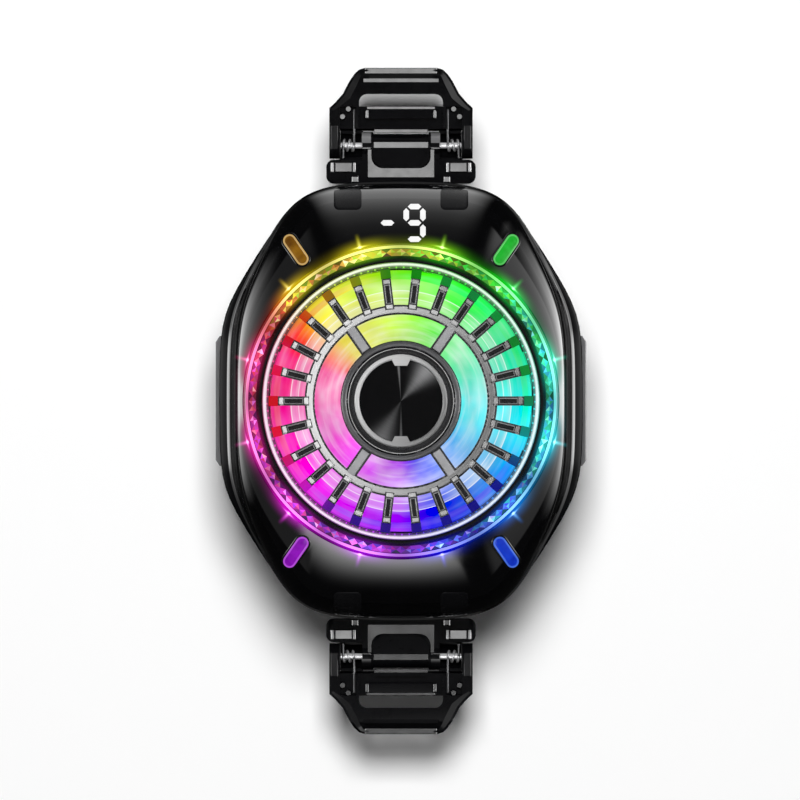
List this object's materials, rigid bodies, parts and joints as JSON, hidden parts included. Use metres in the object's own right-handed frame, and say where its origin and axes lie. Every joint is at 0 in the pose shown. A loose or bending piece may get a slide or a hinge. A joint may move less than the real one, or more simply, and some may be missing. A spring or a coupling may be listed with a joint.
{
  "type": "phone cooling fan",
  "caption": "Clip-on phone cooler: lit fan behind a spoked grille, thermoelectric cold plate on the back, and a sprung swinging jaw at each end that hooks the phone's edges.",
  "frame": {"origin": "middle of the cold plate's contact face, which lies on the phone's back", "axes": "+Z out of the phone towards the fan's front, +Y towards the clip beside the display, +X towards the power socket"},
  "size_m": [0.0604, 0.109, 0.0243],
  "materials": {
    "gloss_black": "polished black moulding",
    "satin_black": "fine satin moulding",
    "clip_black": "semi-gloss black moulding",
    "trim_grey": "gloss dark grey",
    "grille_grey": "dark metallic grey",
    "silicone": "matt silicone",
    "light_guide": "clear faceted light guide, lit from below in a wheel of colours",
    "led_white": "chip lens",
    "lens_amber": "lit amber lens",
    "lens_green": "lit green lens",
    "lens_violet": "lit violet lens",
    "lens_blue": "lit blue lens",
    "display_white": "lit white segments",
    "frosted_white": "frosted translucent moulding",
    "spun_disc": "black spun metal, bare",
    "chrome": "bright plated",
    "steel": "bright drawn steel",
    "dark_steel": "blackened steel",
    "bronze": "sintered bronze",
    "copper": "enamelled copper wire",
    "magnet": "dark sintered",
    "aluminium": "brushed",
    "white_ceramic": "alumina ceramic",
    "circuit_board": "solder mask",
    "chip_black": "moulded chip body"
  },
  "bodies": {
    "case": {"front_cover": "gloss_black", "mid_frame": "gloss_black", "rear_housing": "satin_black", "case_screws": "dark_steel", "back_pad": "silicone", "light_ring": "light_guide", "channel_ring": "gloss_black", "bright_ring": "chrome", "led_board": "circuit_board", "led_chips": "led_white", "amber_lens": "lens_amber", "green_lens": "lens_green", "violet_lens": "lens_violet", "blue_lens": "lens_blue", "display_segments": "display_white", "display_board": "circuit_board", "fan_grille": "grille_grey", "hub_trim": "chrome", "hub_bezel": "chrome", "hub_disc": "spun_disc", "fan_frame": "satin_black", "shaft_bearing": "bronze", "stator_core": "steel", "stator_coils": "copper", "fan_screws": "dark_steel", "heatsink": "aluminium", "sink_screws": "dark_steel", "peltier_plates": "white_ceramic", "peltier_pellets": "magnet", "insulation_frame": "silicone", "cold_plate": "aluminium", "control_board": "circuit_board", "board_chips": "chip_black", "usb_socket": "steel", "port_surround": "trim_grey", "key_board": "circuit_board", "key_switch": "chip_black", "top_arm": "clip_black", "bottom_arm": "clip_black", "arm_screws": "dark_steel", "top_hinge_pin": "steel", "bottom_hinge_pin": "steel", "top_springs": "steel", "bottom_springs": "steel"},
    "rotor": {"impeller": "frosted_white", "rotor_magnet": "magnet", "rotor_shaft": "steel"},
    "top_jaw": {"top_jaw": "clip_black", "top_jaw_pad": "silicone"},
    "bottom_jaw": {"bottom_jaw": "clip_black", "bottom_jaw_pad": "silicone"},
    "power_key": {"power_key": "trim_grey"}
  },
  "joints": [
    {"name": "fan_spin", "type": "hinge", "parent": "case", "child": "rotor", "pos_m": [0, 0, 0.017], "axis": [0, 0, 1], "continuous": true},
    {"name": "top_jaw_swing", "type": "hinge", "parent": "case", "child": "top_jaw", "pos_m": [0, 0.04175, 0.0029], "axis": [-1, 0, 0], "range_deg": [0, 105]},
    {"name": "bottom_jaw_swing", "type": "hinge", "parent": "case", "child": "bottom_jaw", "pos_m": [0, -0.04175, 0.0029], "axis": [1, 0, 0], "range_deg": [0, 105]},
    {"name": "power_key_press", "type": "slide", "parent": "case", "child": "power_key", "axis": [1, 0, 0], "range_m": [0, 0.0005], "stiffness_N_per_m": 300, "springref_m": -0.001}
  ]
}
